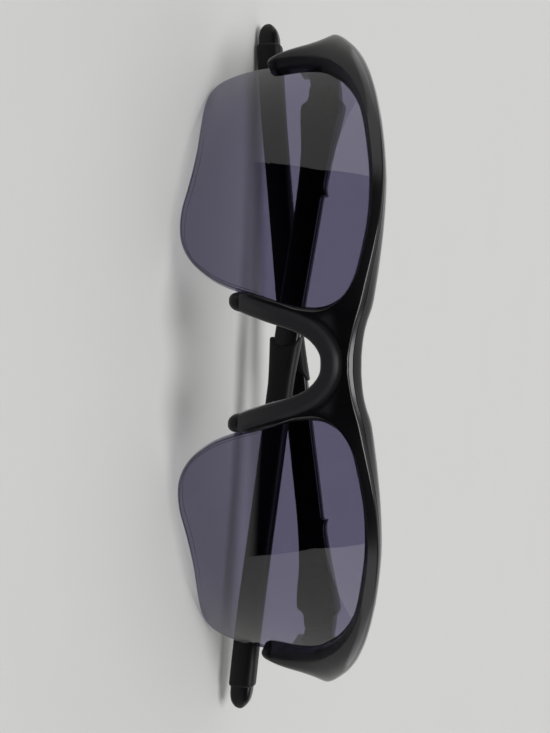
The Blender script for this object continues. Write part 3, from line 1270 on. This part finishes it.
def dark_screen():
    """A dark screen on and round the front of the table, which only reflections show."""
    points = []
    for reach, z in ((0, SCREEN_LIFT), (SCREEN_REACH, SCREEN_LIFT), (SCREEN_REACH, SCREEN_HEIGHT)):
        for k in range(SCREEN_STEPS + 1):
            share = 2 * k / SCREEN_STEPS - 1
            near, out = SCREEN_TURN * share, SCREEN_SPREAD * share
            points.append((SCREEN_MIDDLE.x + SCREEN_NEAR * math.sin(near) + reach * math.sin(out),
                           SCREEN_MIDDLE.y - SCREEN_NEAR * math.cos(near) - reach * math.cos(out),
                           z))
    row = SCREEN_STEPS + 1
    faces = [(base + k, base + k + 1, base + k + row + 1, base + k + row)
             for base in (0, row) for k in range(SCREEN_STEPS)]
    piece = stage_piece("dark_screen", points, faces, dark_cloth())
    for ray in ("camera", "diffuse", "transmission", "volume_scatter", "shadow"):
        setattr(piece, "visible_" + ray, False)


def make_room(light):
    """The room: dim, but brighter above and behind and at both sides below the ceiling.

    It is plain and pale where the camera sees it."""
    world = bpy.data.worlds.new("room")
    world.use_nodes = True
    world.node_tree.nodes.clear()
    add_nodes(
        world.node_tree,
        ("way", "TexCoord"),
        ("to", "SeparateXYZ", {"Vector": "way.Generated"}),
        ("aside", "Math", {0: "to.X"}, {"operation": "ABSOLUTE"}),
        ("side", "MapRange",
         {"Value": "aside.Value", "From Min": 0.66, "From Max": 0.78, "To Max": light.sides},
         SMOOTH),
        ("low", "MapRange", {"Value": "to.Z", "From Min": 0.65, "From Max": 0.4}, SMOOTH),
        ("back", "MapRange",
         {"Value": "to.Y", "From Min": -0.25, "From Max": 0.4, "To Max": light.behind}, SMOOTH),
        ("sides", "Math", {0: "side.Result", 1: "low.Result", 2: light.sky},
         {"operation": "MULTIPLY_ADD"}),
        ("level", "Math", {0: "back.Result", 1: "sides.Value"}, {"operation": "ADD"}),
        ("room", "Background", {"Color": WHITE, "Strength": "level.Value"}),
        ("pale", "Background", {"Color": linear("#CECECC"), "Strength": 1.0}),
        ("ray", "LightPath"),
        ("mix", "MixShader",
         {"Fac": "ray.Is Camera Ray", 1: "room.Background", 2: "pale.Background"}),
        ("out", "OutputWorld", {"Surface": "mix.Shader"}))
    return world


KEY_HEIGHT = math.radians(70)


def add_key(light):
    """A broad far lamp, high on the camera's side."""
    lamp = bpy.data.lights.new("key", "SUN")
    lamp.energy, lamp.angle = light.key, light.key_width
    holder = link_object("key", lamp)
    holder.rotation_euler = toward(math.pi, KEY_HEIGHT).to_track_quat("Z", "Y").to_euler()


CAMERA_DISTANCE = 220.0           # millimetres, in the glasses' own frame
CAMERA_SIDE = 0.55
CAMERA_TILT, CAMERA_YAW, CAMERA_ROLL = math.radians(15), math.radians(1.8), math.radians(1.05)
CAMERA_LENS = 60.33   # millimetres, for a sensor 36 mm along the picture's long side


def add_camera():
    """A camera turned a quarter, so that the glasses stand upright in a tall picture."""
    ahead = toward(CAMERA_YAW, -CAMERA_TILT)
    across = Vector((math.cos(CAMERA_YAW), -math.sin(CAMERA_YAW), 0))
    up = across.cross(ahead)
    down_picture = across * math.cos(CAMERA_ROLL) + up * math.sin(CAMERA_ROLL)
    right_picture = up * math.cos(CAMERA_ROLL) - across * math.sin(CAMERA_ROLL)
    turn = TO_TABLE.to_3x3()
    axes = Matrix((turn @ right_picture, turn @ -down_picture, turn @ -ahead)).transposed()
    place = TO_TABLE @ ((Vector((CAMERA_SIDE, 0, 0)) - ahead * CAMERA_DISTANCE) * MM)
    camera = bpy.data.cameras.new("camera")
    camera.sensor_width, camera.lens = 36, CAMERA_LENS
    camera.clip_start, camera.clip_end = 0.01, 20
    holder = link_object("camera", camera)
    holder.matrix_world = Matrix.Translation(place) @ axes.to_4x4()
    bpy.context.scene.camera = holder


class SUNGLASSES_OT_stage(bpy.types.Operator):
    """Make the table, the lights and the camera"""
    bl_idname = "sunglasses.stage"
    bl_label = "Stage"

    def execute(self, context):
        light = context.scene.sunglasses_light
        corners = [(x, y, 0) for x in (-TABLE_HALF, TABLE_HALF) for y in (-TABLE_HALF, TABLE_HALF)]
        stage_piece("table", corners, [(0, 2, 3, 1)], MATERIALS["table"])
        dark_screen()
        context.scene.world = make_room(light)
        add_key(light)
        add_camera()
        context.scene.view_settings.view_transform = "Standard"
        return {"FINISHED"}


class SUNGLASSES_PT_panel(bpy.types.Panel):
    bl_idname = "SUNGLASSES_PT_panel"
    bl_label = "Sunglasses"
    bl_space_type = "VIEW_3D"
    bl_region_type = "UI"
    bl_category = "Sunglasses"

    def draw(self, context):
        for group in (context.scene.sunglasses_finish, context.scene.sunglasses_detail,
                      context.scene.sunglasses_light):
            for name in group.__annotations__:
                self.layout.prop(group, name)
        for step in STEPS:
            self.layout.operator(step.bl_idname)


STEPS = (SUNGLASSES_OT_materials, SUNGLASSES_OT_front, SUNGLASSES_OT_lenses, SUNGLASSES_OT_pads,
         SUNGLASSES_OT_stems, SUNGLASSES_OT_sleeves, SUNGLASSES_OT_stage)
GROUPS = {"sunglasses_finish": SunglassesFinish, "sunglasses_detail": SunglassesDetail,
          "sunglasses_light": SunglassesLight}


def register():
    for name, group in GROUPS.items():
        bpy.utils.register_class(group)
        setattr(bpy.types.Scene, name, PointerProperty(type=group))
    for entry in STEPS + (SUNGLASSES_PT_panel,):
        bpy.utils.register_class(entry)


def unregister():
    for entry in (SUNGLASSES_PT_panel,) + STEPS[::-1]:
        bpy.utils.unregister_class(entry)
    for name, group in GROUPS.items():
        delattr(bpy.types.Scene, name)
        bpy.utils.unregister_class(group)


def main():
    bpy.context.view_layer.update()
    register()
    for step in STEPS:
        group, name = step.bl_idname.split(".")
        getattr(getattr(bpy.ops, group), name)()


if __name__ == "__main__":
    main()
